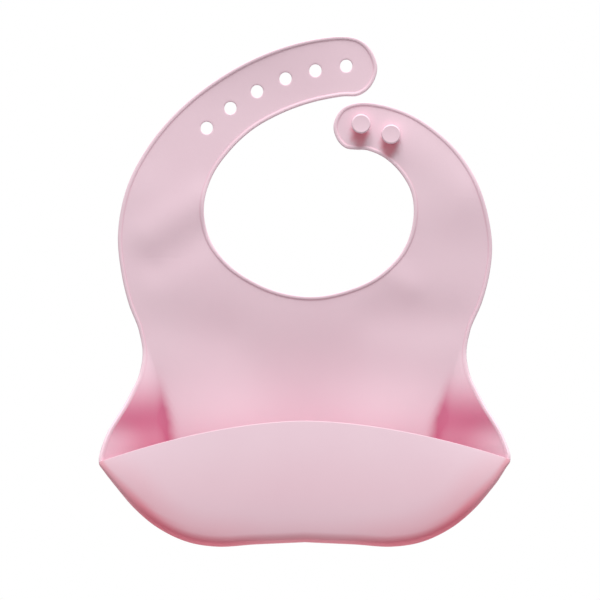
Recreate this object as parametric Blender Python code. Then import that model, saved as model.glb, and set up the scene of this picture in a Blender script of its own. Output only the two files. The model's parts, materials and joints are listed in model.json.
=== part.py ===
"""Silicone baby bib with a catcher pouch, standing open with its neck straps unfastened.

The bib stands in the X-Z plane as it is worn: +Z is up towards the neck straps, -Y is the front
of the bib and +Y is the wearer's side. The origin is in the middle of the neck opening, on the
flat back face of the chest panel. Outlines are in millimetres, as seen from the front, and are
turned into metres when a mesh is made. A depth is a distance in front of the back face.

The real bib is one moulding. It is modelled as the regions that bend against each other, with a
narrow gap along each line where the silicone flexes.
"""

import math

import bmesh
import bpy
import numpy as np

MM = 0.001

# Driving dimensions
SHEET = 1.6  # thickness of the silicone sheet
BEAD_WIDTH = 1.8  # raised rim along every free edge
BEAD_HEIGHT = 0.8  # height of that rim over the front face
BEAD_SLOPE = 0.4  # width of the rim's inner slope
FLEX_GAP = 2.0  # gap on a line where two regions bend
SEAM_GAP = 1.0  # gap beside the crease between panel and pouch
EDGE_STEP = 4.0  # longest chord along an outline

HOLE_DIAMETER = 7.4
HOLE_SIDES = 24
STUD_SIDES = 28
STUD_GAP = 0.3  # between a stud's foot and the strap

EAR_X = 117.0  # half width of the pouch at its two upper corners
EAR_Z = -148.4
EAR_DEPTH = 34.5
RIM_Z = -123.8  # middle of the pouch rim
RIM_DEPTH = 40.0
BELLY = 8.0  # how far the front wall stands out beyond its rim
WALL_INSET = 1.2  # front wall's margin above the bottom fold
WALL_EAR_INSET = 3.0  # the same margin at the ears

# Free edge of the bib, anticlockwise from the right waist: (x, z)
FREE_EDGE = [
    # right shoulder, outer edge
    (94.9, -88.5), (96.6, -74.6), (103.9, -57.6), (108.6, -39.4), (109.9, -22.9), (106.5, -2.4),
    (100.1, 15.2), (90.1, 30.7), (76.6, 43.7), (60.8, 53.7), (43.1, 59.3),
    # tip of the stud strap
    (29.1, 60.0), (20.6, 56.9), (16.1, 46.3), (19.7, 35.8), (27.9, 32.0),
    # neck opening
    (37.3, 31.5), (52.5, 22.3), (61.9, 6.1), (62.5, -12.4), (55.5, -29.4), (42.0, -42.3), (24.9, -49.9),
    (6.8, -53.5), (-12.0, -51.7), (-29.1, -45.2), (-44.6, -34.7), (-55.5, -20.0), (-59.0, -1.8),
    (-54.3, 16.4), (-43.7, 31.7), (-30.2, 44.2), (-13.8, 53.4), (3.8, 59.8), (22.0, 63.4),
    # tip of the hole strap
    (31.4, 63.9), (38.4, 68.8), (42.6, 79.4), (39.0, 90.4), (32.6, 96.8), (23.2, 99.2),
    # left shoulder, outer edge
    (-0.9, 96.2), (-27.3, 87.4), (-51.9, 73.9), (-73.7, 56.6), (-91.9, 35.2), (-104.8, 10.5),
    (-110.1, -17.1), (-108.0, -40.0), (-102.9, -60.0), (-97.1, -75.8), (-94.9, -88.5),
]

# Pouch behind its front wall, right half from the waist to the bottom centre:
# (panel edge x, z, outer edge x, z, outer edge depth, roundness of the section between them)
POUCH_SECTIONS = [
    (89.5, -91.0, 95.0, -91.0, 3.0, 0.0),
    (86.2, -100.5, 97.2, -101.0, 8.0, 0.0),
    (84.0, -108.3, 100.4, -108.5, 13.5, 0.0),
    (82.0, -116.3, 104.2, -116.3, 19.0, 0.0),
    (80.3, -124.0, 108.6, -123.9, 24.5, 0.0),
    (78.6, -131.5, 112.8, -131.5, 28.5, 0.0),
    (77.0, -139.8, 115.8, -139.8, 32.0, 0.0),
    (75.4, -147.4, EAR_X, EAR_Z, EAR_DEPTH, 0.1),
    (74.0, -153.5, 114.0, -153.4, 33.0, 0.2),
    (71.0, -161.0, 107.2, -162.0, 30.3, 0.4),
    (65.5, -169.5, 96.3, -174.4, 27.3, 0.7),
    (57.5, -175.5, 83.4, -185.2, 24.8, 0.9),
    (47.5, -178.5, 67.6, -193.6, 22.0, 1.0),
    (36.5, -179.3, 50.4, -196.7, 20.0, 1.0),
    (20.0, -178.4, 27.8, -195.3, 19.2, 1.0),
    (0.0, -177.4, 0.0, -194.0, 19.0, 1.0),
]
EAR_SECTION = 7
FLOOR_SECTION = 12

HOLES = [(-57.3, 45.1), (-43.4, 56.7), (-27.8, 66.5), (-11.1, 73.9), (6.4, 78.6), (24.4, 81.3)]
STUDS = {"closure_stud_inner": (33.0, 47.0), "closure_stud_outer": (50.5, 40.9)}

# Lines where a strap bends: (a point on the line), (the way to the strap's tip)
HOLE_SHOULDER = ((-84.5, -8.0), (0.0, 1.0))
HOLE_MIDDLE = ((-68.4, 34.0), (0.73, 0.683))
HOLE_TIP = ((-19.4, 70.3), (0.914, 0.405))
STUD_SHOULDER = ((85.5, -8.0), (0.0, 1.0))
STUD_TIP = ((68.4, 29.6), (-0.623, 0.782))


def silicone(name):
    """Matt pink food-grade silicone for one piece."""
    material = bpy.data.materials.new(f"{name}_silicone")
    material.use_nodes = True
    shader = material.node_tree.nodes["Principled BSDF"]
    shader.inputs["Base Color"].default_value = (0.86, 0.55, 0.63, 1.0)
    shader.inputs["Roughness"].default_value = 0.6
    shader.inputs["Metallic"].default_value = 0.0
    return material


def curve_through(knots, step=EDGE_STEP):
    """Points on a centripetal Catmull-Rom curve through the knots, no further apart than step."""
    p = np.array(knots, float)
    p = np.vstack([2 * p[0] - p[1], p, 2 * p[-1] - p[-2]])
    chord = np.sqrt(np.linalg.norm(np.diff(p, axis=0), axis=1))
    at = np.concatenate([[0.0], np.cumsum(chord)])
    found = []
    for i in range(1, len(p) - 2):
        t0, t1, t2, t3 = at[i - 1 : i + 3]
        count = max(1, math.ceil(np.linalg.norm(p[i + 1] - p[i]) / step))
        for t in np.linspace(t1, t2, count, endpoint=False):
            a1 = ((t1 - t) * p[i - 1] + (t - t0) * p[i]) / (t1 - t0)
            a2 = ((t2 - t) * p[i] + (t - t1) * p[i + 1]) / (t2 - t1)
            a3 = ((t3 - t) * p[i + 1] + (t - t2) * p[i + 2]) / (t3 - t2)
            b1 = ((t2 - t) * a1 + (t - t0) * a2) / (t2 - t0)
            b2 = ((t3 - t) * a2 + (t - t1) * a3) / (t3 - t1)
            found.append(((t2 - t) * b1 + (t - t1) * b2) / (t2 - t1))
    found.append(p[-2])
    return np.array(found)


def resampled(points, count):
    """The same curve as count points at equal distances."""
    lengths = np.linalg.norm(np.diff(points, axis=0), axis=1)
    along = np.concatenate([[0.0], np.cumsum(lengths)])
    at = np.linspace(0.0, along[-1], count)
    return np.column_stack([np.interp(at, along, points[:, k]) for k in range(points.shape[1])])


def crossings(edge, bend, offset):
    """Where the free edge crosses a bend line moved by offset towards the strap's tip.

    Two (index, point) pairs in edge order: the crossings nearest to the middle of the line.
    """
    centre = np.array(bend[0])
    ahead = np.array(bend[1]) / np.linalg.norm(bend[1])
    side = (edge - centre) @ ahead - offset
    found = []
    for i in np.nonzero(side[:-1] * side[1:] < 0)[0]:
        share = side[i] / (side[i] - side[i + 1])
        point = edge[i] + share * (edge[i + 1] - edge[i])
        found.append((np.linalg.norm(point - centre), int(i), point))
    nearest = sorted(found, key=lambda item: item[0])[:2]
    return sorted([(i, point) for _, i, point in nearest], key=lambda item: item[0])


def stretch(edge, start, end):
    """The free edge between two crossings. None stands for the end of the edge."""
    first = 0 if start is None else start[0] + 1
    last = len(edge) if end is None else end[0] + 1
    points = edge[first:last]
    if start is not None:
        points = points[np.linalg.norm(points - start[1], axis=1) > 0.4]
        points = np.vstack([start[1], points])
    if end is not None:
        points = points[np.linalg.norm(points - end[1], axis=1) > 0.4]
        points = np.vstack([points, end[1]])
    return points


def new_object(name, vertices, faces):
    """A closed mesh object from vertices in millimetres, with its faces turned outwards."""
    mesh = bpy.data.meshes.new(name)
    mesh.from_pydata((np.array(vertices) * MM).tolist(), [], faces)
    body = bmesh.new()
    body.from_mesh(mesh)
    bmesh.ops.recalc_face_normals(body, faces=body.faces)
    body.to_mesh(mesh)
    body.free()
    mesh.materials.append(silicone(name))
    obj = bpy.data.objects.new(name, mesh)
    bpy.context.scene.collection.objects.link(obj)
    return obj


def inward_normals(chain):
    """Unit normals on the left of a chain, the inside of a piece drawn anticlockwise."""
    ahead = np.gradient(chain, axis=0)
    ahead /= np.linalg.norm(ahead, axis=1)[:, None]
    return np.column_stack([-ahead[:, 1], ahead[:, 0]])


def unit(vector):
    return vector / np.linalg.norm(vector)


def flat_piece(name, chains):
    """A flat sheet inside chains of outline points, anticlockwise: (points, has_bead) each.

    A chain with a bead has the raised rim on its front face. The straight cut from the end of a
    chain to the start of the next one is left plain.
    """
    top = SHEET + BEAD_HEIGHT
    vertices, faces, sections = [], [], []
    for c, (chain, has_bead) in enumerate(chains):
        normals = inward_normals(chain)
        normals[-1] = unit(chains[(c + 1) % len(chains)][0][0] - chain[-1])
        normals[0] = unit(chains[c - 1][0][-1] - chain[0])
        rows = []
        for p, n in zip(chain, normals):
            section = [(p, 0.0), (p, SHEET)]
            if has_bead:
                rim = p + n * BEAD_WIDTH
                foot = p + n * (BEAD_WIDTH + BEAD_SLOPE)
                section = [(p, 0.0), (p, top), (rim, top), (foot, SHEET)]
            rows.append(list(range(len(vertices), len(vertices) + len(section))))
            vertices += [(q[0], -depth, q[1]) for q, depth in section]
        for a, b in zip(rows[:-1], rows[1:]):
            for k in range(len(a) - 1):
                faces.append([a[k], a[k + 1], b[k + 1], b[k]])
        sections.append(rows)
    for c, rows in enumerate(sections):
        after = sections[(c + 1) % len(sections)][0]
        faces.append(rows[-1] + after[::-1])
    faces.append([row[0] for rows in sections for row in rows])
    faces.append([row[-1] for rows in sections for row in rows])
    return new_object(name, vertices, faces)


def shell_piece(name, grid, front):
    """A curved sheet around a grid of points (x, y, z) in the middle of its thickness.

    front is the distance of the front face from the middle at each grid point.
    """
    normals = np.cross(np.gradient(grid, axis=0), np.gradient(grid, axis=1))
    normals /= np.linalg.norm(normals, axis=2)[:, :, None]
    before = grid + normals * front[:, :, None]
    behind = grid - normals * (SHEET / 2)
    rows, columns = grid.shape[:2]
    back = rows * columns
    faces = []
    for i in range(rows - 1):
        for j in range(columns - 1):
            a = i * columns + j
            quad = [a, a + columns, a + columns + 1, a + 1]
            faces.append(quad)
            faces.append([back + k for k in reversed(quad)])
    around = [i * columns for i in range(rows)]
    around += [(rows - 1) * columns + j for j in range(1, columns)]
    around += [i * columns + columns - 1 for i in range(rows - 2, -1, -1)]
    around += list(range(columns - 2, 0, -1))
    for a, b in zip(around, around[1:] + around[:1]):
        faces.append([a, b, back + b, back + a])
    obj = new_object(name, np.vstack([before.reshape(-1, 3), behind.reshape(-1, 3)]), faces)
    obj.data.shade_smooth()
    obj.data.set_sharp_from_angle(angle=math.radians(40))
    return obj


def punch(obj, centres):
    """Round fastening holes through a flat piece."""
    for k, centre in enumerate(centres):
        bpy.ops.mesh.primitive_cylinder_add(
            vertices=HOLE_SIDES,
            radius=HOLE_DIAMETER / 2 * MM,
            depth=0.02,
            location=(centre[0] * MM, 0.0, centre[1] * MM),
            rotation=(math.pi / 2, 0.0, 0.0),
        )
        tool = bpy.context.object
        tool.name = f"{obj.name}_cutter_{k + 1}"
        tool.hide_render = True
        tool.display_type = "WIRE"
        cut = obj.modifiers.new(f"hole_{k + 1}", "BOOLEAN")
        cut.operation = "DIFFERENCE"
        cut.solver = "EXACT"
        cut.object = tool


def stud(name, centre):
    """Mushroom stud: flared foot, stem, and a rounded head with a shallow dimple."""
    base = SHEET + STUD_GAP
    profile = [  # (radius, depth)
        (0.0, base), (4.4, base), (3.6, base + 0.8), (3.3, base + 1.8), (3.3, base + 2.9),
        (4.9, base + 3.1), (5.5, base + 3.6), (5.6, base + 4.6), (5.3, base + 5.4), (4.7, base + 5.8),
        (3.7, base + 5.85), (3.3, base + 5.6), (0.0, base + 5.55),
    ]
    vertices, faces, rings = [], [], []
    for radius, depth in profile:
        sides = STUD_SIDES if radius else 1
        rings.append(list(range(len(vertices), len(vertices) + sides)))
        for k in range(sides):
            turn = 2 * math.pi * k / STUD_SIDES
            vertices.append((centre[0] + radius * math.cos(turn), -depth, centre[1] + radius * math.sin(turn)))
    for low, high in zip(rings[:-1], rings[1:]):
        for k in range(STUD_SIDES):
            after = (k + 1) % STUD_SIDES
            face = [low[k % len(low)], low[after % len(low)], high[after % len(high)], high[k % len(high)]]
            faces.append(list(dict.fromkeys(face)))
    obj = new_object(name, vertices, faces)
    obj.data.shade_smooth()
    obj.data.set_sharp_from_angle(angle=math.radians(40))
    return obj


def section_ramp(t, roundness):
    """Share of the depth gained at share t of a section: straight, or a quarter ellipse."""
    return (1 - roundness) * t**1.15 + roundness * (1 - math.sqrt(max(0.0, 1 - t * t)))


def section_points(section, has_bead, columns=9):
    """Middle points of the sheet from the panel's edge to the outer edge, and its front offsets."""
    panel, outer = np.array(section[:2]), np.array(section[2:4])
    depth, roundness = section[4], section[5]
    length = math.hypot(np.linalg.norm(outer - panel), depth)
    start = SEAM_GAP / length
    bead = [1 - (BEAD_WIDTH + BEAD_SLOPE) / length, 1 - BEAD_WIDTH / length, 1.0]
    if not has_bead:
        bead = [0.97, 0.99, 1 - 0.05 / length]
    turns = np.linspace(math.asin(start), math.asin(bead[0]), columns)
    shares = list(np.sin(turns)) + bead[1:]
    points, front = [], []
    for k, t in enumerate(shares):
        x, z = panel + (outer - panel) * t
        points.append((x, -SHEET / 2 - (depth - SHEET / 2) * section_ramp(t, roundness), z))
        front.append(SHEET / 2 + (BEAD_HEIGHT if has_bead and k >= columns else 0.0))
    return points, front


def mirrored(grid, front):
    """The same sheet on the left side of the bib."""
    return grid[:, ::-1] * np.array([-1.0, 1.0, 1.0]), front[:, ::-1]


def make_pouch_back():
    """Both side gussets and the floor, which join the pouch's front wall to the panel."""
    sections = curve_through(POUCH_SECTIONS)
    knots = np.array(POUCH_SECTIONS)
    ear = int(np.argmin(np.linalg.norm(sections - knots[EAR_SECTION], axis=1)))
    corner = int(np.argmin(np.linalg.norm(sections - knots[FLOOR_SECTION], axis=1)))
    made = [section_points(s, i <= ear) for i, s in enumerate(sections[:corner])]
    grid = np.array([points for points, _ in made])
    front = np.array([offsets for _, offsets in made])
    shell_piece("pouch_gusset_right", grid, front)
    shell_piece("pouch_gusset_left", *mirrored(grid, front))
    half = sections[corner:]
    row = [section_points(s, False) for s in half]
    grid = np.array([points for points, _ in row])
    front = np.array([offsets for _, offsets in row])
    left, left_front = grid[-2::-1] * np.array([-1.0, 1.0, 1.0]), front[-2::-1]
    shell_piece("pouch_floor", np.vstack([grid, left]), np.vstack([front, left_front]))


def rim_point(share):
    """Middle of the sheet at the pouch's rim, at a share of the way from the centre to an ear."""
    z = RIM_Z + (EAR_Z - RIM_Z) * abs(share) ** 1.75
    depth = RIM_DEPTH + (EAR_DEPTH - RIM_DEPTH) * abs(share) ** 2.2
    return np.array([EAR_X * share, -depth, z])


def make_front_wall(columns=45):
    """The pouch's front wall, from just above the bottom fold up to its beaded rim."""
    outer = curve_through(POUCH_SECTIONS)[:, 2:5]
    knots = np.array(POUCH_SECTIONS)[:, 2:5]
    ear = int(np.argmin(np.linalg.norm(outer - knots[EAR_SECTION], axis=1)))
    right = outer[ear:]
    fold = np.vstack([right[:-1], right[::-1] * np.array([-1.0, 1.0, 1.0])])[::-1]
    fold = resampled(fold, columns)
    grid, front = [], []
    for k in range(1, columns - 1):
        share = -1 + 2 * k / (columns - 1)
        x, z, depth = fold[k]
        low, high = np.array([x, -depth, z]), rim_point(share)
        length = np.linalg.norm(high - low)
        inset = WALL_INSET + (WALL_EAR_INSET - WALL_INSET) * share**6
        ends = [1 - (BEAD_WIDTH + BEAD_SLOPE) / length, 1 - BEAD_WIDTH / length, 1.0]
        round_part = 0.13 + 0.14 * share**2
        belly = high[1] - BELLY * (1 - abs(share) ** 3)
        points, offsets = [], []
        turns = np.linspace(0.0, math.pi / 2, 7)[:-1]
        first = [round_part * (1 - math.cos(a)) for a in turns]
        shares = [s for s in first + list(np.linspace(round_part, ends[0], 7)) if s < ends[0] - 0.02]
        shares = list(np.interp(np.linspace(0, 1, 13), np.linspace(0, 1, len(shares)), shares)) + ends
        for t in shares:
            bulge = math.sqrt(max(0.0, 1 - (1 - min(t / round_part, 1.0)) ** 2))
            lean = max(0.0, (t - round_part) / (1 - round_part)) ** 1.4
            point = low + (high - low) * t
            point[1] = low[1] + (belly - low[1]) * bulge + (high[1] - belly) * lean - inset * (1 - t)
            points.append(point)
            offsets.append(SHEET / 2 + (BEAD_HEIGHT if t >= ends[1] else 0.0))
        grid.append(points)
        front.append(offsets)
    shell_piece("pouch_front_wall", np.array(grid), np.array(front))


def make_sheet():
    """The chest panel and both neck straps, cut where they bend."""
    edge = curve_through(FREE_EDGE)
    half = FLEX_GAP / 2
    cuts = {
        bend: (crossings(edge, bend, -half), crossings(edge, bend, half))
        for bend in (HOLE_SHOULDER, HOLE_MIDDLE, HOLE_TIP, STUD_SHOULDER, STUD_TIP)
    }
    below, above = cuts[STUD_SHOULDER]
    near, far = cuts[STUD_TIP]
    chains = [(stretch(edge, above[0], near[0]), True), (stretch(edge, near[1], above[1]), True)]
    flat_piece("stud_strap_shoulder", chains)
    flat_piece("stud_strap_tip", [(stretch(edge, far[0], far[1]), True)])

    hole_below, hole_above = cuts[HOLE_SHOULDER]
    near, far = cuts[HOLE_MIDDLE]
    chains = [(stretch(edge, hole_above[0], near[0]), True), (stretch(edge, near[1], hole_above[1]), True)]
    flat_piece("hole_strap_shoulder", chains)
    tip_near, tip_far = cuts[HOLE_TIP]
    chains = [(stretch(edge, far[0], tip_near[0]), True), (stretch(edge, tip_near[1], far[1]), True)]
    middle = flat_piece("hole_strap_middle", chains)
    tip = flat_piece("hole_strap_tip", [(stretch(edge, tip_far[0], tip_far[1]), True)])
    punch(middle, HOLES[:3])
    punch(tip, HOLES[3:])

    crease = curve_through(POUCH_SECTIONS, 6.0)[:, :2]
    lower = np.vstack([crease[:-1] * np.array([-1.0, 1.0]), crease[::-1]])
    chains = [
        (stretch(edge, None, below[0]), True),
        (stretch(edge, below[1], hole_below[0]), True),
        (stretch(edge, hole_below[1], None), True),
        (lower, False),
    ]
    flat_piece("chest_panel", chains)


for obj in list(bpy.data.objects):
    bpy.data.objects.remove(obj, do_unlink=True)

make_sheet()
make_pouch_back()
make_front_wall()
for stud_name, stud_centre in STUDS.items():
    stud(stud_name, stud_centre)
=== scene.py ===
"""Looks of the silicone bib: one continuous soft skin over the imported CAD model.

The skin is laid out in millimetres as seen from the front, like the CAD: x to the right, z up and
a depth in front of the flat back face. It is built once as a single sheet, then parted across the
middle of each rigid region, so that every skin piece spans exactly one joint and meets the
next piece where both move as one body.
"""

import json
import math

import bmesh
import bpy
import numpy as np
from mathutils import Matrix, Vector
from mathutils.geometry import delaunay_2d_cdt


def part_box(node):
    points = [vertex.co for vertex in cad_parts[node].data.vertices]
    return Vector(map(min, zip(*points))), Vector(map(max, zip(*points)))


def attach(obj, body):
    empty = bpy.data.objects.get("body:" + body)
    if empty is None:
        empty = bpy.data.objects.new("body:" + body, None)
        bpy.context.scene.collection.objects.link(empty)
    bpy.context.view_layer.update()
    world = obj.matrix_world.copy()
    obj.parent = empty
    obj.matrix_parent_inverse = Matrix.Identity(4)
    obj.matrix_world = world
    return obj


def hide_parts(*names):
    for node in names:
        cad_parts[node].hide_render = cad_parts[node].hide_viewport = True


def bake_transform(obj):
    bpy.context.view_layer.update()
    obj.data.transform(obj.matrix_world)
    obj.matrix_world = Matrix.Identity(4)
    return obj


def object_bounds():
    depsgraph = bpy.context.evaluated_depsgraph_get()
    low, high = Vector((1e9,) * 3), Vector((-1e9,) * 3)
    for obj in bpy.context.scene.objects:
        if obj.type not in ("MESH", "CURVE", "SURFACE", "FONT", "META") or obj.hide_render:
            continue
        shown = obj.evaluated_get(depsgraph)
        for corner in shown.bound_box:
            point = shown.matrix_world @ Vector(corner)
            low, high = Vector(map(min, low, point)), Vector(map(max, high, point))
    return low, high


MM = 0.001

# Sheet and its beaded edge
HALF_SHEET = 0.8
PLAIN = (HALF_SHEET, HALF_SHEET)  # front face and back face from the sheet's middle
MIDDLE_DEPTH = 0.8  # depth of the sheet's middle on the flat chest panel
EDGE_PROFILE = [  # (distance from the free edge, front face and back face from the sheet's middle)
    (0.0, 0.64, 0.40),
    (0.12, 0.92, 0.66),
    (0.40, 1.10, 0.80),
    (0.80, 1.18, 0.80),
    (1.50, 1.18, 0.80),
    (1.85, 1.10, 0.80),
    (2.13, 0.95, 0.80),
    (2.38, 0.83, 0.80),
    (2.90, 0.80, 0.80),
]
EDGE_WIDTH = EDGE_PROFILE[-1][0]

# Fastening holes: (x, z) of their middles
HOLES = [(-57.3, 45.1), (-43.4, 56.7), (-27.8, 66.5), (-11.1, 73.9), (6.4, 78.6), (24.4, 81.3)]
HOLE_RADIUS = 3.6
# (distance from a hole's edge, front face and back face from the sheet's middle)
HOLE_PROFILE = [(0.0, 0.50, 0.50), (0.18, 0.74, 0.74), (0.50, 0.80, 0.80), (1.4, 0.80, 0.80)]
HOLE_SIDES = 40

# Fineness of the mesh
EDGE_STEP = 1.6
SECTION_STEP = 2.0
MESH_STEP = 3.0
ROW_STEP = MESH_STEP * 0.866  # rows of nearly equilateral triangles
CLEARANCE = 0.6 * MESH_STEP  # least distance of the inner points from edges, seams and holes
MERGE_DISTANCE = 1e-4
SKIN_SHARP, STUD_SHARP = math.radians(62), math.radians(60)

# Free edge, anticlockwise from just above the right waist: (x, z)
FREE_EDGE = [
    (95.9, -79.0), (97.9, -71.5), (103.9, -57.6), (108.6, -39.4), (109.9, -22.9), (106.5, -2.4),
    (100.1, 15.2), (90.1, 30.7), (76.6, 43.7), (60.8, 53.7), (43.1, 59.3),
    (31.0, 59.9), (22.0, 56.4), (17.0, 46.8), (19.0, 38.4), (24.0, 33.3), (30.5, 32.3),
    (36.5, 32.0), (46.6, 27.6), (55.9, 19.0), (62.4, 7.6), (64.0, -5.0), (61.5, -18.5),
    (55.5, -29.8), (42.0, -42.3), (24.9, -49.9),
    (6.8, -53.5), (-12.0, -51.7), (-29.1, -45.2), (-44.6, -34.7), (-55.5, -20.0), (-59.0, -1.8),
    (-54.3, 16.4), (-43.7, 31.7), (-30.2, 44.2), (-13.8, 53.4), (3.8, 59.8), (22.0, 63.4),
    (31.4, 63.9), (38.4, 68.8), (42.6, 79.4), (39.0, 90.4), (32.6, 96.4), (23.4, 98.6),
    (-0.8, 95.6), (-27.0, 86.8), (-51.5, 73.3), (-73.2, 56.1), (-91.2, 34.9), (-104.0, 10.4),
    (-109.3, -17.1), (-107.3, -40.0), (-102.9, -58.5), (-97.8, -71.5), (-95.9, -79.0),
]
ABOVE_POUCH = -70.0  # height from which up the sheet has nothing in front of it

# Pouch behind its front wall, right half from the waist to the bottom centre:
# (crease x, z, outer edge x, z, outer edge depth, roundness of the section between them)
POUCH_SECTIONS = [
    (92.0, -79.0, 95.9, -79.0, 0.8, 0.0),
    (90.3, -85.0, 95.0, -85.0, 1.1, 0.0),
    (88.6, -91.5, 95.0, -91.5, 2.4, 0.0),
    (86.2, -100.5, 97.0, -101.0, 5.4, 0.0),
    (84.0, -108.3, 100.4, -108.5, 9.5, 0.0),
    (82.0, -116.3, 104.2, -116.3, 14.8, 0.0),
    (80.3, -124.0, 108.6, -123.9, 20.8, 0.0),
    (78.6, -131.5, 112.8, -131.5, 26.2, 0.0),
    (77.0, -139.8, 115.8, -139.8, 31.2, 0.0),
    (75.4, -147.4, 117.0, -148.4, 34.5, 0.1),
    (74.0, -153.5, 114.0, -153.4, 33.0, 0.2),
    (71.0, -161.0, 107.4, -161.8, 33.6, 0.4),
    (65.5, -169.5, 96.7, -174.5, 31.6, 0.7),
    (57.5, -175.5, 83.9, -185.4, 28.6, 0.9),
    (47.5, -178.5, 67.6, -193.6, 24.4, 1.0),
    (36.5, -179.3, 50.4, -196.6, 21.2, 1.0),
    (20.0, -178.4, 27.8, -195.3, 19.2, 1.0),
    (0.0, -177.4, 0.0, -194.0, 19.0, 1.0),
]
EAR_SECTION = 9  # the section at the pouch's corner, called its ear
STRAIGHT_RAMP = 1.45  # power of the depth gained across a section without roundness
BEAD_RUNOUT = 4.0  # how far past the ear the bead runs out

# How the two sides differ, between which heights and between which distances from the middle
RIGHT_LIFT = 1.6  # how much higher the right ear sits
LIFT_HEIGHTS, LIFT_WIDTHS = (-136.0, -147.0), (108.0, 116.0)
LEFT_CREASE_OUT = 2.6  # how much further out the left crease runs low down
SHIFT_HEIGHTS, SHIFT_WIDTHS = (-100.0, -135.0), (20.0, 60.0)
BEAD_LOSS, BEAD_LOSS_HEIGHTS = 0.6, (-79.0, -98.0)  # how much lower the bead gets on the gussets

# Pouch rim and front wall
RIM_Z, RIM_DEPTH = -124.6, 40.0  # middle of the pouch rim
RIM_ARCH, RIM_SWEEP = 1.75, 2.2  # powers of its fall and of its way back towards the ears
BELLY_BULGE, BELLY_POWER = 8.0, 3  # how far the front wall stands out beyond its rim
LEAN_POWER = 1.4  # how late the wall leans back from the belly to the rim
SLOW_PART = 0.45  # share of the height over which the wall goes on rounding
EDGE_SHARE = 0.6  # most of a short wall that its rim may take up
# The value in the middle, and how much is added at the ears
FOLD_ROLL = (0.055, 0.06)  # share of the height in the roll at the bottom fold
SLOW_SHARE = (0.05, 0.15)  # share of the depth gained slowly, over SLOW_PART

# Painted shade: a deeper pink painted where light is caught inside the pouch, and a warm pink painted into
# the shadows
PAINTED_SHADE_COLOURS = {"painted_shade": (0.70, 0.18, 0.31), "painted_warm_shade": (0.90, 0.16, 0.24)}
SHADE_TOP = (-84.0, -126.0)  # heights between which the painted shade inside the pouch grows
SHADE_BOTTOM = (-126.0, -136.0)  # and between which it gets a little paler again
POUCH_SHADE = (0.95, 0.15, 0.25)  # strength, how much less low down, how much more in the crease
CREASE_HALF_WIDTH = 3.5  # of the painted shade along the crease on the gusset
CREASE_FADE = (2.8, 4.4)  # and on the chest panel, high up and low down
CREASE_FADE_HEIGHTS = (-108.0, -128.0)
EAR_PALENESS, EAR_REACH = 0.9, (30.0, 4.0)  # how much weaker the painted shade is at the ear, by distance from it
BEAD_REACH = (3.0, 1.8)  # distances from the free edge between which the painted shade ends
BEAD_FOOT_SHADE = (2.3, 0.35, 0.22)  # painted shade line along the bead's foot: from the edge, half width, strength
STUD_SHADES = [(32.4, 41.6, 4.4, 7.0), (49.8, 35.4, 4.4, 7.0)]  # painted shadows below the studs: (x, z, half width, half height)
STUD_SHADOW_STRENGTH, STUD_FADE = 0.7, (1.35, 0.75)  # fading over these shares of the half sizes
BACK_SHADE_STRENGTH, BACK_REACH = 0.6, 10.0  # painted shade on the back, behind the bottom fold, up to this distance from it
# Shares of the way from the middle to an ear between which a lobe starts, and ends
LOBE_START, EAR_START = (0.1, 0.4), (0.7, 1.0)
WALL_SHADE_STRENGTH, WALL_REACH = 0.08, (1.0, 0.4)  # weak painted shade on the wall, growing downwards between these shares of the wall's height
BAND_WIDTH, BAND_WIDER, BAND_SHADE_STRENGTH = 6.0, 2.5, 0.58  # painted shade band along the bottom fold, wider at the lobes
BAND_CORE = 0.4  # share of the band's width at full strength
SOFT_SHADE_REACH, SOFT_SHADE_WIDER, SOFT_SHADE_END = 18.0, 6.0, 3.0  # softer painted shade around the band
SOFT_SHADE_STRENGTH = (0.15, 0.12)  # and how much more at the lobes
EAR_LOSS, EAR_LOSS_START = 0.4, (0.62, 0.9)  # how much of the painted shade is lost towards the ears

# Slow folds and bulges in the soft sheet: (x1, z1, x2, z2, half width, height towards the front)
FOLDS = [
    (-61.0, 2.0, -92.0, -17.0, 11.0, 0.95),
    (-114.0, 6.0, -94.0, 8.0, 15.0, 0.45),
    (-57.0, -17.5, -86.0, -35.0, 11.0, -0.8),
    (-84.0, -70.0, -50.0, -76.0, 18.0, -1.0),
    (-40.0, 112.0, 40.0, 118.0, 35.0, 4.2),
    (-95.0, 75.0, -40.0, 112.0, 30.0, 1.5),
    (30.0, 66.0, 80.0, 46.0, 22.0, 1.0),
    (59.0, 32.0, 94.0, 12.0, 18.0, 1.6),
    (66.0, -2.0, 100.0, -4.0, 18.0, 0.9),
    (52.0, -42.0, 62.0, -48.0, 8.0, 0.5),
    (44.0, -66.0, 84.0, -68.0, 15.0, -1.0),
    (-24.0, -100.0, 26.0, -100.0, 30.0, -1.2),
    (-58.0, -136.0, -48.0, -136.0, 30.0, 4.0),
    (46.0, -136.0, 56.0, -136.0, 30.0, 4.0),
]
FOLDS_END, FOLDS_FADE = -172.0, 30.0  # they fade out down to this height, over this distance

# Lines across the sheet where two skin pieces meet: (middle of the line, way to the strap's tip)
SEAMS = {
    "left_chest": ((-77.0, -31.0), (0.0, 1.0)),
    "hole_lower": ((-81.5, 5.8), (-0.10, 0.995)),
    "hole_upper": ((-50.3, 50.9), (0.78, 0.626)),
    "right_chest": ((80.0, -31.0), (0.0, 1.0)),
    "stud_lower": ((83.0, 5.2), (0.085, 0.996)),
}
SEAM_REACH = 24.0  # about how far a seam's ends are from its middle
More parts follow.
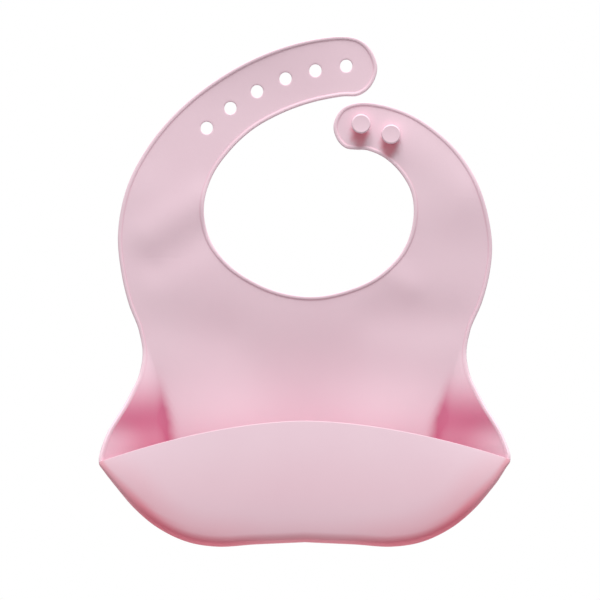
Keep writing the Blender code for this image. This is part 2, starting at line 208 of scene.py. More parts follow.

# Skin pieces: name, the joint that each spans, a point inside it
SKINS = [
    ("bib_skin", "pouch_front_flex", (0.0, -70.0)),
    ("hole_shoulder_skin", "hole_strap_shoulder_flex", (-84.0, -8.0)),
    ("hole_strap_lower_skin", "hole_strap_middle_flex", (-68.4, 34.0)),
    ("hole_strap_upper_skin", "hole_strap_tip_flex", (-19.0, 70.0)),
    ("stud_shoulder_skin", "stud_strap_shoulder_flex", (85.0, -8.0)),
    ("stud_strap_skin", "stud_strap_tip_flex", (68.4, 29.6)),
]
REPLACED = {  # the CAD nodes that each skin piece stands for
    "bib_skin": ["chest_panel", "pouch_gusset_left", "pouch_gusset_right", "pouch_floor", "pouch_front_wall"],
    "hole_shoulder_skin": ["hole_strap_shoulder"],
    "hole_strap_lower_skin": ["hole_strap_middle"],
    "hole_strap_upper_skin": ["hole_strap_tip"],
    "stud_shoulder_skin": ["stud_strap_shoulder"],
    "stud_strap_skin": ["stud_strap_tip"],
}
STUDS = ["closure_stud_inner", "closure_stud_outer"]
STUD_SIDES = 56

# Joint spans and studio, with sizes and places in metres
BEND_HALF = 0.011  # half length of the stretch of strap that bends
WALL_BLEND = (-0.006, -0.034)  # y between which the pouch's skin goes over from the panel towards the front wall
FLOOR_RADIUS, FLOOR_DROP = 0.45, 0.4
KEY_PLACE, KEY_TARGET = (0.08, -0.42, 1.15), (0.0, 0.0, -0.05)
KEY_SIZE, KEY_POWER = (0.8, 0.45), 17.9  # power in watts
CAMERA_PLACE, CAMERA_LENS = (-0.00264, -1.32, -0.0558), 135.0  # lens in millimetres


def curve_through(knots, step):
    """Points on a centripetal Catmull-Rom curve through the knots, no further apart than step."""
    p = np.array(knots, float)
    p = np.vstack([2 * p[0] - p[1], p, 2 * p[-1] - p[-2]])
    at = np.concatenate([[0.0], np.cumsum(np.sqrt(np.linalg.norm(np.diff(p, axis=0), axis=1)))])
    found = []
    for i in range(1, len(p) - 2):
        t0, t1, t2, t3 = at[i - 1 : i + 3]
        count = max(1, math.ceil(np.linalg.norm(p[i + 1] - p[i]) / step))
        for t in np.linspace(t1, t2, count, endpoint=False):
            a1 = ((t1 - t) * p[i - 1] + (t - t0) * p[i]) / (t1 - t0)
            a2 = ((t2 - t) * p[i] + (t - t1) * p[i + 1]) / (t2 - t1)
            a3 = ((t3 - t) * p[i + 1] + (t - t2) * p[i + 2]) / (t3 - t2)
            b1 = ((t2 - t) * a1 + (t - t0) * a2) / (t2 - t0)
            b2 = ((t3 - t) * a2 + (t - t1) * a3) / (t3 - t1)
            found.append(((t2 - t) * b1 + (t - t1) * b2) / (t2 - t1))
    found.append(p[-2])
    return np.array(found)


def inward_normals(chain):
    """Unit normals on the left of a chain, the inside of the sheet."""
    ahead = np.gradient(chain, axis=0)
    ahead /= np.linalg.norm(ahead, axis=1)[:, None]
    return np.column_stack([-ahead[:, 1], ahead[:, 0]])


def unit(vector):
    return np.array(vector, float) / np.linalg.norm(vector)


def inside(polygon, points):
    """Even-odd test of many points against one polygon."""
    x, z = points[:, 0], points[:, 1]
    result = np.zeros(len(points), bool)
    for a, b in zip(polygon, np.roll(polygon, -1, axis=0)):
        if a[1] == b[1]:
            continue
        spans = (a[1] > z) != (b[1] > z)
        result ^= spans & (x < a[0] + (z - a[1]) * (b[0] - a[0]) / (b[1] - a[1]))
    return result


def distance_to(chain, points):
    """Distance from each point to the nearest point of a finely divided chain."""
    return np.min(np.linalg.norm(points[:, None, :] - chain[None, :, :], axis=2), axis=1)


def ease(value, start, end):
    """0 at start and 1 at end, with a smooth change between them."""
    t = np.clip((value - start) / (end - start), 0.0, 1.0)
    return t * t * (3 - 2 * t)


def quarter_turn(t):
    """Share of the way out along a quarter ellipse, all of it from t = 1 on."""
    return math.sqrt(max(0.0, 1 - (1 - min(t, 1.0)) ** 2))


def waves(x, z):
    """How far the sheet stands out of its flat shape, in millimetres towards the front."""
    total = np.zeros(np.shape(x))
    for x1, z1, x2, z2, width, height in FOLDS:
        ahead = np.array([x2 - x1, z2 - z1])
        share = np.clip(((x - x1) * ahead[0] + (z - z1) * ahead[1]) / (ahead @ ahead), 0, 1)
        away = np.hypot(x - x1 - share * ahead[0], z - z1 - share * ahead[1])
        total = total + height * np.exp(-((away / width) ** 2))
    return total * np.clip((z - FOLDS_END) / FOLDS_FADE, 0, 1)


def sheet_depth(x, z):
    """Depth of the sheet's middle on the chest panel and the straps."""
    return MIDDLE_DEPTH + float(waves(x, z))


class Sheet:
    """The middle surface of the silicone: points, the faces between them and the thickness.

    Each point also says how much painted shade goes into its colour: a deeper pink where light is caught
    inside the pouch, and a warm pink painted into the shadows on its front and its back.
    """

    def __init__(self):
        self.index = {}
        self.points = []
        self.thickness = []
        self.painted_shade_amounts = []
        self.faces = []

    def add(self, x, depth, z, front, back, painted_shade=0.0, back_painted_warm_shade=0.0, warm_front=0.0):
        """The index of a point, shared with one already at the same place."""
        key = (round(x, 3), round(depth, 3), round(z, 3))
        if key not in self.index:
            self.index[key] = len(self.points)
            self.points.append((x, -depth, z))
            self.thickness.append((front, back))
            self.painted_shade_amounts.append((float(painted_shade), float(warm_front), float(back_painted_warm_shade)))
        return self.index[key]

    def add_face(self, corners):
        """A face, less the corners that fall on the same point."""
        face = list(dict.fromkeys(corners))
        if len(face) > 2:
            self.faces.append(face)

    def add_grid(self, rows):
        """Faces between rows of points, each as long as the next."""
        for a, b in zip(rows[:-1], rows[1:]):
            for k in range(len(a) - 1):
                self.add_face([a[k], a[k + 1], b[k + 1], b[k]])


def bead_foot_shade(away):
    """Painted shade along the foot of the edge bead, by distance from the free edge."""
    middle, half_width, strength = BEAD_FOOT_SHADE
    return strength * np.exp(-(((away - middle) / half_width) ** 2))


def pouch_shade(z, from_crease):
    """Painted shade inside the pouch, a deeper pink, strongest in the crease beside the chest panel."""
    strength, less_low, more_in_crease = POUCH_SHADE
    in_crease = math.exp(-((from_crease / CREASE_HALF_WIDTH) ** 2))
    peak = strength - less_low * ease(z, *SHADE_BOTTOM) + more_in_crease * in_crease
    return ease(z, *SHADE_TOP) ** 2 * peak


def front_painted_shades(x, z, edge, crease):
    """Painted shade on the front of the chest panel and the straps: deep pink beside the creases and along
    the bead, warm pink in the studs' shadows.
    """
    from_crease = np.min(np.hypot(crease[:, 0] - x, crease[:, 1] - z))
    high_up, low_down = CREASE_FADE
    fade = high_up + (low_down - high_up) * ease(z, *CREASE_FADE_HEIGHTS)
    painted_shade = pouch_shade(z, 0.0) * math.exp(-((from_crease / fade) ** 2))
    painted_shade += bead_foot_shade(np.min(np.hypot(edge[:, 0] - x, edge[:, 1] - z)))
    painted_warm_shade = 0.0
    for stud_x, stud_z, half_width, half_height in STUD_SHADES:
        share = math.hypot((x - stud_x) / half_width, (z - stud_z) / half_height)
        painted_warm_shade += STUD_SHADOW_STRENGTH * ease(share, *STUD_FADE)
    return painted_shade, painted_warm_shade


def section_ramp(t, roundness):
    """Share of the depth gained at share t of a section: nearly straight, or a quarter ellipse."""
    return (1 - roundness) * t**STRAIGHT_RAMP + roundness * (1 - math.sqrt(max(0.0, 1 - t * t)))


def section_row(section, bead, side, ear, columns=14):
    """Points of the pouch from the crease to the outer edge, each as Sheet.add takes it.

    bead is 1 where the free edge has its bead and falls to 0 past the ear, side is 1 on the right
    of the bib and -1 on the left, and ear is (x, z) of the pouch's corner.
    """
    crease, outer = section[:2].copy(), section[2:4].copy()
    depth, roundness = section[4], section[5]
    if side > 0:
        outer[1] += RIGHT_LIFT * ease(outer[1], *LIFT_HEIGHTS) * ease(outer[0], *LIFT_WIDTHS)
    else:
        crease[0] += LEFT_CREASE_OUT * ease(crease[1], *SHIFT_HEIGHTS) * ease(crease[0], *SHIFT_WIDTHS)
    bead_height = bead * (1 - BEAD_LOSS * ease(outer[1], *BEAD_LOSS_HEIGHTS))
    length = math.hypot(np.linalg.norm(outer - crease), depth - MIDDLE_DEPTH)
    insets = [inset for inset, _, _ in EDGE_PROFILE]
    last = 1 - insets[-1] / length
    shares = list(np.sin(np.linspace(0.0, math.asin(last), columns)))
    shares += [1 - inset / length for inset in reversed(insets[:-1])]
    profile = [PLAIN] * columns + [(front, back) for _, front, back in reversed(EDGE_PROFILE[:-1])]
    row = []
    for t, (front, back) in zip(shares, profile):
        x, z = (crease + (outer - crease) * t) * (side, 1)
        d = sheet_depth(x, z) + (depth - MIDDLE_DEPTH) * section_ramp(t, roundness)
        front = HALF_SHEET + (front - HALF_SHEET) * bead_height
        back = HALF_SHEET + (back - HALF_SHEET) * bead_height
        from_edge = length * (1 - t)
        from_ear = math.hypot(abs(x) - ear[0], z - ear[1])
        # Painted shade inside the pouch, strongest in the crease, weaker towards the ear and at the bead,
        # plus a painted shade line at the bead's foot
        painted_shade = pouch_shade(z, length * t) * (1 - EAR_PALENESS * ease(from_ear, *EAR_REACH))
        painted_shade *= 1 - bead * ease(from_edge, *BEAD_REACH)
        painted_shade += bead_height * (1 - min(1.0, painted_shade)) * bead_foot_shade(from_edge)
        # Painted shade on the back, under the bottom fold past the ear
        back_painted_warm_shade = BACK_SHADE_STRENGTH * (1 - bead) * ease(from_edge, BACK_REACH, 0.0)
        row.append((x, d, z, front, back, painted_shade, back_painted_warm_shade))
    return row


def rim_point(share, ear):
    """(x, depth, z) of the rim at a share of the way from its middle to an ear, an (x, z, depth)."""
    z = RIM_Z + (ear[1] - RIM_Z) * abs(share) ** RIM_ARCH
    depth = RIM_DEPTH + (ear[2] - RIM_DEPTH) * abs(share) ** RIM_SWEEP
    return np.array([ear[0] * share, depth, z])


def wall_painted_shade(t, share, away):
    """Painted shade, a warm pink, on the front wall at share t of its height, by distance from the bottom
    fold.
    """
    past_lobe = ease(abs(share), *EAR_START)
    lobe = ease(abs(share), *LOBE_START) - past_lobe
    band = BAND_WIDTH + BAND_WIDER * lobe - BAND_WIDER * past_lobe
    shade_amount = WALL_SHADE_STRENGTH * ease(t, *WALL_REACH) + BAND_SHADE_STRENGTH * ease(away, band, BAND_CORE * band)
    soft_shade = SOFT_SHADE_STRENGTH[0] + SOFT_SHADE_STRENGTH[1] * lobe
    shade_amount += soft_shade * ease(away, SOFT_SHADE_REACH + SOFT_SHADE_WIDER * lobe, SOFT_SHADE_END)
    return shade_amount * (1 - EAR_LOSS * ease(abs(share), *EAR_LOSS_START))


def wall_row(fold, rim, share, folds, columns=12):
    """Points of the front wall from the bottom fold up to the rim, each as Sheet.add takes it."""
    length = np.linalg.norm(rim - fold)
    shrink = min(1.0, EDGE_SHARE * length / EDGE_WIDTH)
    insets = [inset * shrink / max(length, 1e-6) for inset, _, _ in EDGE_PROFILE]
    roll = FOLD_ROLL[0] + FOLD_ROLL[1] * share**2
    slow_share = SLOW_SHARE[0] + SLOW_SHARE[1] * share**2
    belly = rim[1] + BELLY_BULGE * (1 - abs(share) ** BELLY_POWER)
    turns = np.linspace(0.0, math.pi / 2, columns)
    shares = [roll * (1 - math.cos(a)) * (1 - insets[-1]) for a in turns]
    shares += list(np.linspace(roll, 1.0, columns + 6)[1:] * (1 - insets[-1]))
    profile = [PLAIN] * len(shares)
    shares += [1 - inset for inset in reversed(insets[:-1])]
    profile += [(back, min(front, HALF_SHEET)) for _, front, back in reversed(EDGE_PROFILE[:-1])]
    row = []
    for t, (front, back) in zip(shares, profile):
        bulge = (1 - slow_share) * quarter_turn(t / roll) + slow_share * quarter_turn(t / SLOW_PART)
        x, depth, z = fold + (rim - fold) * t
        lean = max(0.0, (t - roll) / (1 - roll)) ** LEAN_POWER
        depth = fold[1] + (belly - fold[1]) * bulge + (rim[1] - belly) * lean
        away = np.min(np.hypot(folds[:, 0] - x, folds[:, 2] - z))
        # Painted shade on the wall's outer face, strongest along the bottom fold
        row.append((x, depth, z, front, back, 0.0, wall_painted_shade(t, share, away)))
    return row


def add_pouch(sheet, sections, ear):
    """The gussets, the floor and the front wall. Gives the rows of the pouch's back half."""
    halves = ([], [])
    for i, section in enumerate(sections):
        past = np.linalg.norm(section[2:5] - sections[ear][2:5]) if i > ear else 0.0
        bead = max(0.0, 1 - past / BEAD_RUNOUT)
        for half, side in zip(halves, (1, -1)):
            half.append(section_row(section, bead, side, sections[ear][2:4]))
    rows = halves[0] + halves[1][-2::-1]
    sheet.add_grid([[sheet.add(*point) for point in row] for row in rows])

    folds = np.array([row[-1][:3] for row in rows[ear : len(rows) - ear]])
    lengths = np.linalg.norm(np.diff(folds, axis=0), axis=1)
    along = np.concatenate([[0.0], np.cumsum(lengths)])
    shares = 1 - 2 * along / along[-1]
    wall = []
    for fold, share in zip(folds, shares):
        end = folds[0] if share > 0 else folds[-1]
        rim = rim_point(share, (abs(end[0]), end[2], end[1]))
        wall.append([sheet.add(*point) for point in wall_row(fold, rim, share, folds)])
    sheet.add_grid(wall)
    return rows


class Drawing:
    """Points and lines in the plane of the chest panel, with the thickness at each point."""

    def __init__(self):
        self.points = []
        self.thickness = []
        self.lines = []

    def add_points(self, points, thickness):
        self.points.extend(tuple(p) for p in points)
        self.thickness.extend(thickness)

    def add_chain(self, chain, thickness, closed=False):
        start = len(self.points)
        self.add_points(chain, thickness)
        ids = list(range(start, start + len(chain)))
        self.lines.extend(zip(ids[:-1], ids[1:]))
        if closed:
            self.lines.append((ids[-1], ids[0]))


def snap_crossings(ring, seam, wanted):
    """Moves the ring's nearest points onto a seam line where the ring crosses it.

    wanted holds two places, and the crossings nearest to them count.
    """
    centre, ahead = np.array(seam[0]), unit(seam[1])
    side = (ring - centre) @ ahead
    found = []
    for i in np.nonzero(side[:-1] * side[1:] <= 0)[0]:
        share = side[i] / (side[i] - side[i + 1])
        found.append((ring[i] + share * (ring[i + 1] - ring[i]), i + int(share > 0.5)))
    picked = []
    for place in wanted:
        point, j = min(found, key=lambda item: np.linalg.norm(item[0] - place))
        ring[j] = point
        picked.append(point)
    return picked


def cut_seams(rings):
    """Each seam's points from one free edge to the other. The rings get a point on each seam."""
    chains = {}
    for name, seam in SEAMS.items():
        centre, across = np.array(seam[0]), unit((-seam[1][1], seam[1][0]))
        wanted = [centre + across * SEAM_REACH, centre - across * SEAM_REACH]
        sides = ([], [])
        for ring in rings:
            wanted = snap_crossings(ring, seam, wanted)
            sides[0].append(wanted[0])
            sides[1].append(wanted[1])
        near, far = sides[0][-1], sides[1][-1]
        steps = max(2, round(np.linalg.norm(near - far) / MESH_STEP))
        middle = [near + (far - near) * s / steps for s in range(1, steps)]
        chains[name] = np.array(sides[0] + middle + sides[1][::-1])
    return chains


def inner_points(outline, outer_ring, crease, seam_chains):
    """Evenly spaced points of the flat part, clear of its edge, creases, seams and holes."""
    low, high = outline.min(axis=0), outline.max(axis=0)
    grid = []
    for r, z in enumerate(np.arange(low[1], high[1], ROW_STEP)):
        for x in np.arange(low[0], high[0], MESH_STEP):
            grid.append((x + (r % 2) * MESH_STEP / 2, z))
    grid = np.array(grid)
    grid = grid[inside(outline, grid)]
    grid = grid[distance_to(outer_ring, grid) > EDGE_WIDTH + CLEARANCE]
    for chain in (crease, *seam_chains.values()):
        grid = grid[distance_to(chain, grid) > CLEARANCE]
    for centre in HOLES:
        away = np.linalg.norm(grid - np.array(centre), axis=1)
        grid = grid[away > HOLE_RADIUS + HOLE_PROFILE[-1][0] + CLEARANCE]
    return grid


def add_flat(sheet, rows):
    """The chest panel and straps, meshed in the plane. Gives each seam's points."""
    edge = curve_through(FREE_EDGE, EDGE_STEP)
    normals = inward_normals(edge)
    rings = [edge + normals * inset for inset, _, _ in EDGE_PROFILE]
    first, last = rows[0], rows[-1]
    for k, ring in enumerate(rings):
        ring[0] = (first[-1 - k][0], first[-1 - k][2])
        ring[-1] = (last[-1 - k][0], last[-1 - k][2])
    seam_chains = cut_seams(rings)
    crease = np.array([(row[0][0], row[0][2]) for row in rows])
    outline = np.vstack([edge, crease[::-1]])

    drawing = Drawing()
    over_bead = [(front, back) for _, front, back in EDGE_PROFILE]
    for ring, thickness in zip(rings, over_bead):
        drawing.add_chain(ring, [thickness] * len(ring))
    for chain in seam_chains.values():
        between = [PLAIN] * (len(chain) - 2 * len(over_bead))
        drawing.add_chain(chain, over_bead + between + over_bead[::-1])
    for row in (first, last):
        drawing.add_chain([(p[0], p[2]) for p in row], [(p[3], p[4]) for p in row])
    drawing.add_chain(crease, [PLAIN] * len(crease))
    turns = np.linspace(0, 2 * math.pi, HOLE_SIDES, endpoint=False)
    holes = []
    for centre in HOLES:
        for inset, front, back in HOLE_PROFILE:
            radius = HOLE_RADIUS + inset
            circle = np.array(centre) + radius * np.column_stack([np.cos(turns), np.sin(turns)])
            drawing.add_chain(circle, [(front, back)] * len(circle), closed=True)
            if inset == 0.0:
                holes.append(circle)
    grid = inner_points(outline, rings[0], crease, seam_chains)
    drawing.add_points(grid, [PLAIN] * len(grid))

    places = [Vector(p) for p in drawing.points]
    meshed = delaunay_2d_cdt(places, drawing.lines, [], 0, MERGE_DISTANCE, True)
    made, _, faces, origins, _, _ = meshed
    flat = np.array([tuple(v) for v in made])
    centres = np.array([flat[face].mean(axis=0) for face in faces])
    keep = inside(outline, centres)
    for circle in holes:
        keep &= ~inside(circle, centres)
    ids = {}
    for k in sorted({v for face, kept in zip(faces, keep) if kept for v in face}):
        x, z = drawing.points[origins[k][0]] if origins[k] else flat[k]
        front, back = drawing.thickness[origins[k][0]] if origins[k] else PLAIN
        # Painted shade beside the creases and along the bead, and painted shadows below the studs
        painted_shade, painted_warm_shade = front_painted_shades(x, z, edge, crease)
        ids[k] = sheet.add(x, sheet_depth(x, z), z, front, back, painted_shade, warm_front=painted_warm_shade)
    for face, kept in zip(faces, keep):
        if kept:
            sheet.add_face([ids[v] for v in face])
    seams = {}
    for name, chain in seam_chains.items():
        seams[name] = {sheet.add(x, sheet_depth(x, z), z, *PLAIN) for x, z in chain}
    return seams


def surface_normals(sheet):
    """Unit normals of the whole middle surface, towards the front of the panel, and its face order."""
    body = bmesh.new()
    for point in sheet.points:
        body.verts.new(point)
    body.verts.ensure_lookup_table()
    for face in sheet.faces:
        body.faces.new([body.verts[k] for k in face])
    bmesh.ops.recalc_face_normals(body, faces=body.faces)
    body.normal_update()
    flipped = sum(v.normal.y for v in body.verts if v.co.z > ABOVE_POUCH) > 0
    if flipped:
        bmesh.ops.reverse_faces(body, faces=body.faces)
        body.normal_update()
    normals = np.array([tuple(v.normal) for v in body.verts])
    faces = [[v.index for v in face.verts] for face in body.faces]
    body.free()
    return normals, faces


def sides_of(face):
    """The directed edges around a face."""
    return zip(face, face[1:] + face[:1])


def faces_beside(faces, seams):
    """For each face, the faces on the other side of its edges, except across a seam."""
    owners = {}
    for f, face in enumerate(faces):
        for a, b in sides_of(face):
            if not any(a in points and b in points for points in seams.values()):
                owners.setdefault(frozenset((a, b)), []).append(f)
    neighbours = [[] for _ in faces]
    for both in owners.values():
        if len(both) == 2:
            neighbours[both[0]].append(both[1])
            neighbours[both[1]].append(both[0])
    return neighbours


def region_around(place, faces, middles, neighbours):
    """The faces that can be reached from the one nearest to a place without crossing a seam."""
    start = int(np.argmin(np.linalg.norm(middles - np.array(place), axis=1)))
    reached, waiting = {start}, [start]
    while waiting:
        for other in neighbours[waiting.pop()]:
            if other not in reached:
                reached.add(other)
                waiting.append(other)
    return [faces[k] for k in sorted(reached)]


def smooth_piece(name, mesh, sharp_angle):
    """An object in the scene for a mesh, shaded smooth up to an angle."""
    mesh.shade_smooth()
    mesh.set_sharp_from_angle(angle=sharp_angle)
    piece = bpy.data.objects.new(name, mesh)
    bpy.context.scene.collection.objects.link(piece)
    return piece


def solid_skin(name, faces, front, back, painted_shade_amounts):
    """A closed piece between the front and back points of some faces of the sheet."""
    used = sorted({k for face in faces for k in face})
    local = {k: i for i, k in enumerate(used)}
    count = len(used)
    vertices = np.vstack([front[used], back[used]]) * MM
    solid = [[local[k] for k in face] for face in faces]
    solid += [[local[k] + count for k in reversed(face)] for face in faces]
    seen = dict.fromkeys(pair for face in faces for pair in sides_of(face))
    rim = [(a, b) for a, b in seen if (b, a) not in seen]
    solid += [[local[b], local[a], local[a] + count, local[b] + count] for a, b in rim]
    mesh = bpy.data.meshes.new(name)
    mesh.from_pydata(vertices.tolist(), [], solid)
    # Painted shade amounts kept on the points for the material: deep pink on the front, warm pink on both
    # faces
    amounts = {
        "painted_shade": np.concatenate([painted_shade_amounts[used, 0], np.zeros(count)]),
        "painted_warm_shade": np.concatenate([painted_shade_amounts[used, 1], painted_shade_amounts[used, 2]]),
    }
    for tint, values in amounts.items():
        attribute = mesh.attributes.new(tint, "FLOAT", "POINT")
        attribute.data.foreach_set("value", values.astype(np.float32))
    mesh.validate()
    return smooth_piece(name, mesh, SKIN_SHARP)


def make_skins():
    """The whole sheet, parted into skin pieces."""
    sections = curve_through(POUCH_SECTIONS, SECTION_STEP)
    knots = np.array(POUCH_SECTIONS)
    ear = int(np.argmin(np.linalg.norm(sections - knots[EAR_SECTION], axis=1)))
    sheet = Sheet()
    rows = add_pouch(sheet, sections, ear)
    seams = add_flat(sheet, rows)
    normals, faces = surface_normals(sheet)
    middle = np.array(sheet.points)
    thickness = np.array(sheet.thickness)
    painted_shade_amounts = np.array(sheet.painted_shade_amounts)
    front = middle + normals * thickness[:, :1]
    back = middle - normals * thickness[:, 1:]

    neighbours = faces_beside(faces, seams)
    middles = np.array([middle[face][:, [0, 2]].mean(axis=0) for face in faces])
    made = {}
    for name, _, place in SKINS:
        part = region_around(place, faces, middles, neighbours)
        made[name] = solid_skin(name, part, front, back, painted_shade_amounts)
    return made


def stud_piece(name, node):
    """A mushroom stud turned about its own axis, with its foot flared into the strap."""
    low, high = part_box(node)
    centre = ((low.x + high.x) / 2 / MM, (low.z + high.z) / 2 / MM)
    radius = (high.x - low.x) / 2 / MM
    base, tip = -high.y / MM - 0.4 + float(waves(*centre)), -low.y / MM
    profile = [  # (radius, depth) from inside the strap to the middle of the head
        (0.0, base), (5.1, base), (4.6, base + 0.45), (4.0, base + 0.85), (3.55, base + 1.4),
        (3.35, base + 2.0), (3.3, tip - 3.5), (3.45, tip - 3.25), (radius - 0.75, tip - 3.15),
        (radius - 0.3, tip - 3.0), (radius - 0.05, tip - 2.55), (radius, tip - 2.0),
        (radius - 0.02, tip - 0.7), (radius - 0.12, tip - 0.35), (radius - 0.35, tip - 0.10),
        (radius - 0.7, tip), (radius - 1.1, tip - 0.04), (radius - 1.6, tip - 0.08), (0.0, tip - 0.10),
    ]
    vertices, faces, rings = [], [], []
    for r, depth in profile:
        sides = STUD_SIDES if r else 1
        rings.append(list(range(len(vertices), len(vertices) + sides)))
        for k in range(sides):
            turn = 2 * math.pi * k / STUD_SIDES
            x, z = centre[0] + r * math.cos(turn), centre[1] + r * math.sin(turn)
            vertices.append((x * MM, -depth * MM, z * MM))
    for a, b in zip(rings[:-1], rings[1:]):
        for k in range(STUD_SIDES):
            n = (k + 1) % STUD_SIDES
            face = [a[k % len(a)], a[n % len(a)], b[n % len(b)], b[k % len(b)]]
            faces.append(list(dict.fromkeys(face)))
    mesh = bpy.data.meshes.new(name)
    mesh.from_pydata(vertices, [], faces)
    body = bmesh.new()
    body.from_mesh(mesh)
    bmesh.ops.recalc_face_normals(body, faces=body.faces)
    body.to_mesh(mesh)
    body.free()
    return smooth_piece(name, mesh, STUD_SHARP)


def silicone():
    """Matt pink silicone: faint mottling in colour and gloss, a fine moulded grain, and painted shade mixed
    in from the skins' attributes.
    """
    material = bpy.data.materials.new("silicone")
    material.use_nodes = True
    nodes, links = material.node_tree.nodes, material.node_tree.links
    shader = nodes["Principled BSDF"]
    place = nodes.new("ShaderNodeTexCoord")

    mottle = nodes.new("ShaderNodeTexNoise")
    mottle.inputs["Scale"].default_value = 22.0
    mottle.inputs["Detail"].default_value = 4.0
    links.new(place.outputs["Object"], mottle.inputs["Vector"])
    tint = nodes.new("ShaderNodeValToRGB")
    tint.color_ramp.elements[0].position = 0.30
    tint.color_ramp.elements[0].color = (0.950, 0.690, 0.784, 1.0)
    tint.color_ramp.elements[1].position = 0.70
    tint.color_ramp.elements[1].color = (0.960, 0.710, 0.799, 1.0)
    links.new(mottle.outputs["Fac"], tint.inputs["Fac"])
    colour = tint.outputs["Color"]
    # Painted shade: each attribute mixes a deeper pink or a warm pink into the colour where shade falls
    for name, shade_colour in PAINTED_SHADE_COLOURS.items():
        amount = nodes.new("ShaderNodeAttribute")
        amount.attribute_name = name
        blend = nodes.new("ShaderNodeMix")
        blend.data_type = "RGBA"
        blend.inputs["B"].default_value = (*shade_colour, 1.0)
        links.new(amount.outputs["Fac"], blend.inputs["Factor"])
        links.new(colour, blend.inputs["A"])
        colour = blend.outputs["Result"]
    links.new(colour, shader.inputs["Base Color"])

    gloss = nodes.new("ShaderNodeMapRange")
    gloss.inputs["To Min"].default_value = 0.50
    gloss.inputs["To Max"].default_value = 0.62
    links.new(mottle.outputs["Fac"], gloss.inputs["Value"])
    links.new(gloss.outputs["Result"], shader.inputs["Roughness"])

    grain = nodes.new("ShaderNodeTexNoise")
    grain.inputs["Scale"].default_value = 1600.0
    grain.inputs["Detail"].default_value = 2.0
    links.new(place.outputs["Object"], grain.inputs["Vector"])
    bump = nodes.new("ShaderNodeBump")
    bump.inputs["Strength"].default_value = 0.10
    bump.inputs["Distance"].default_value = 0.0002
    links.new(grain.outputs["Fac"], bump.inputs["Height"])
    links.new(bump.outputs["Normal"], shader.inputs["Normal"])
    shader.inputs["Specular IOR Level"].default_value = 0.6
    return material


def make_floor(height):
    """A round of plain pale paper."""
    bpy.ops.mesh.primitive_circle_add(
        vertices=96, radius=FLOOR_RADIUS, fill_type="NGON", location=(0.0, 0.0, height)
    )
    floor = bpy.context.object
    floor.name = "floor"
    paper = bpy.data.materials.new("floor_paper")
    paper.use_nodes = True
    shader = paper.node_tree.nodes["Principled BSDF"]
    shader.inputs["Base Color"].default_value = (0.80, 0.80, 0.80, 1.0)
    shader.inputs["Roughness"].default_value = 0.9
    floor.data.materials.append(paper)
    return floor


def area_light(name, place, target, size, power):
    """A soft rectangular lamp that shines from a place towards a target."""
    data = bpy.data.lights.new(name, "AREA")
    data.shape = "RECTANGLE"
    data.size, data.size_y = size
    data.energy = power
    lamp = bpy.data.objects.new(name, data)
    lamp.location = place
    lamp.rotation_euler = (Vector(target) - Vector(place)).to_track_quat("-Z", "Y").to_euler()
    bpy.context.scene.collection.objects.link(lamp)
    return lamp


def smooth_range(nodes, start, end):
    """A node that passes smoothly from its lowest to its highest value between two inputs."""
    node = nodes.new("ShaderNodeMapRange")
    node.interpolation_type = "SMOOTHSTEP"
    node.inputs["From Min"].default_value = start
    node.inputs["From Max"].default_value = end
    return node


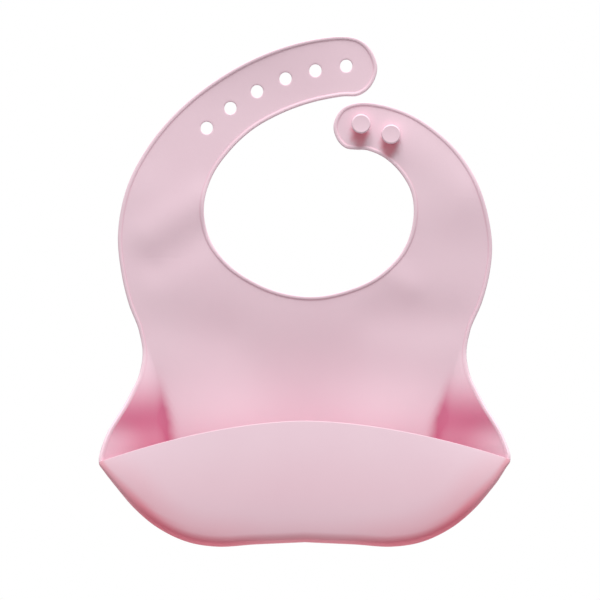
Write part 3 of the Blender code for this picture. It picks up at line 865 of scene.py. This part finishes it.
def make_world():
    """White surroundings for the camera, and a gentle sky that is brighter above and behind."""
    world = bpy.data.worlds.new("studio")
    bpy.context.scene.world = world
    world.use_nodes = True
    nodes, links = world.node_tree.nodes, world.node_tree.links
    place = nodes.new("ShaderNodeTexCoord")
    split = nodes.new("ShaderNodeSeparateXYZ")
    links.new(place.outputs["Generated"], split.inputs["Vector"])

    level = nodes.new("ShaderNodeMapRange")
    level.inputs["From Min"].default_value = -1.0
    level.inputs["From Max"].default_value = 1.0
    level.inputs["To Min"].default_value = 0.20
    level.inputs["To Max"].default_value = 0.58
    links.new(split.outputs["Z"], level.inputs["Value"])

    backdrop = smooth_range(nodes, -0.15, 0.6)
    backdrop.inputs["To Max"].default_value = 0.6
    links.new(split.outputs["Y"], backdrop.inputs["Value"])
    above = smooth_range(nodes, -0.5, 0.1)
    links.new(split.outputs["Z"], above.inputs["Value"])
    raised = nodes.new("ShaderNodeMath")
    raised.operation = "MULTIPLY"
    links.new(backdrop.outputs["Result"], raised.inputs[0])
    links.new(above.outputs["Result"], raised.inputs[1])

    total = nodes.new("ShaderNodeMath")
    total.operation = "ADD"
    links.new(level.outputs["Result"], total.inputs[0])
    links.new(raised.outputs["Value"], total.inputs[1])
    sky = nodes["Background"]
    sky.inputs["Color"].default_value = (1.0, 1.0, 1.0, 1.0)
    links.new(total.outputs["Value"], sky.inputs["Strength"])

    white = nodes.new("ShaderNodeBackground")
    white.inputs["Color"].default_value = (1.0, 1.0, 1.0, 1.0)
    white.inputs["Strength"].default_value = 1.0
    rays = nodes.new("ShaderNodeLightPath")
    mix = nodes.new("ShaderNodeMixShader")
    links.new(rays.outputs["Is Camera Ray"], mix.inputs["Fac"])
    links.new(sky.outputs["Background"], mix.inputs[1])
    links.new(white.outputs["Background"], mix.inputs[2])
    links.new(mix.outputs["Shader"], nodes["World Output"].inputs["Surface"])


def make_camera():
    """A camera straight in front of the bib."""
    data = bpy.data.cameras.new("camera")
    data.lens = CAMERA_LENS
    camera = bpy.data.objects.new("camera", data)
    camera.location = CAMERA_PLACE
    camera.rotation_euler = (math.radians(90), 0.0, 0.0)
    bpy.context.scene.collection.objects.link(camera)
    bpy.context.scene.camera = camera


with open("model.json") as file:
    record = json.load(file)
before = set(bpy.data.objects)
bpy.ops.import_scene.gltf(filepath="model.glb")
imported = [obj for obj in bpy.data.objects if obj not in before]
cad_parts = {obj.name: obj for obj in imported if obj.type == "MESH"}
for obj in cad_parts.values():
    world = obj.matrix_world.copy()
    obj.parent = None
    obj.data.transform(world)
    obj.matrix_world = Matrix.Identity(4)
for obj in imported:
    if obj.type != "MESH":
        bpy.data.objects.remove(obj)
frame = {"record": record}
start_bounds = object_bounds()
joints = {joint["name"]: joint for joint in frame["record"]["behaviour"]["joints"]}

skins = make_skins()
finish = silicone()
for name, joint_name, _ in SKINS:
    piece = skins[name]
    piece.data.materials.append(finish)
    joint = joints[joint_name]
    pivot, axis = Vector(joint["pos_m"]), Vector(joint["axis"])
    if name == "bib_skin":
        start, end = pivot.copy(), pivot.copy()
        start.y, end.y = WALL_BLEND
    else:
        ahead = Vector((axis.z, 0.0, -axis.x)).normalized()
        start, end = pivot - ahead * BEND_HALF, pivot + ahead * BEND_HALF
    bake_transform(piece)
    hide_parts(*REPLACED[name])

for node in STUDS:
    stud = stud_piece(f"{node}_skin", node)
    stud.data.materials.append(finish)
    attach(stud, "stud_strap_end")
    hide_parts(node)

lowest = start_bounds[0].z
floor = make_floor(lowest - FLOOR_DROP)
key = area_light("key", KEY_PLACE, KEY_TARGET, KEY_SIZE, KEY_POWER)
make_world()
make_camera()
bpy.context.scene.view_settings.view_transform = "Standard"
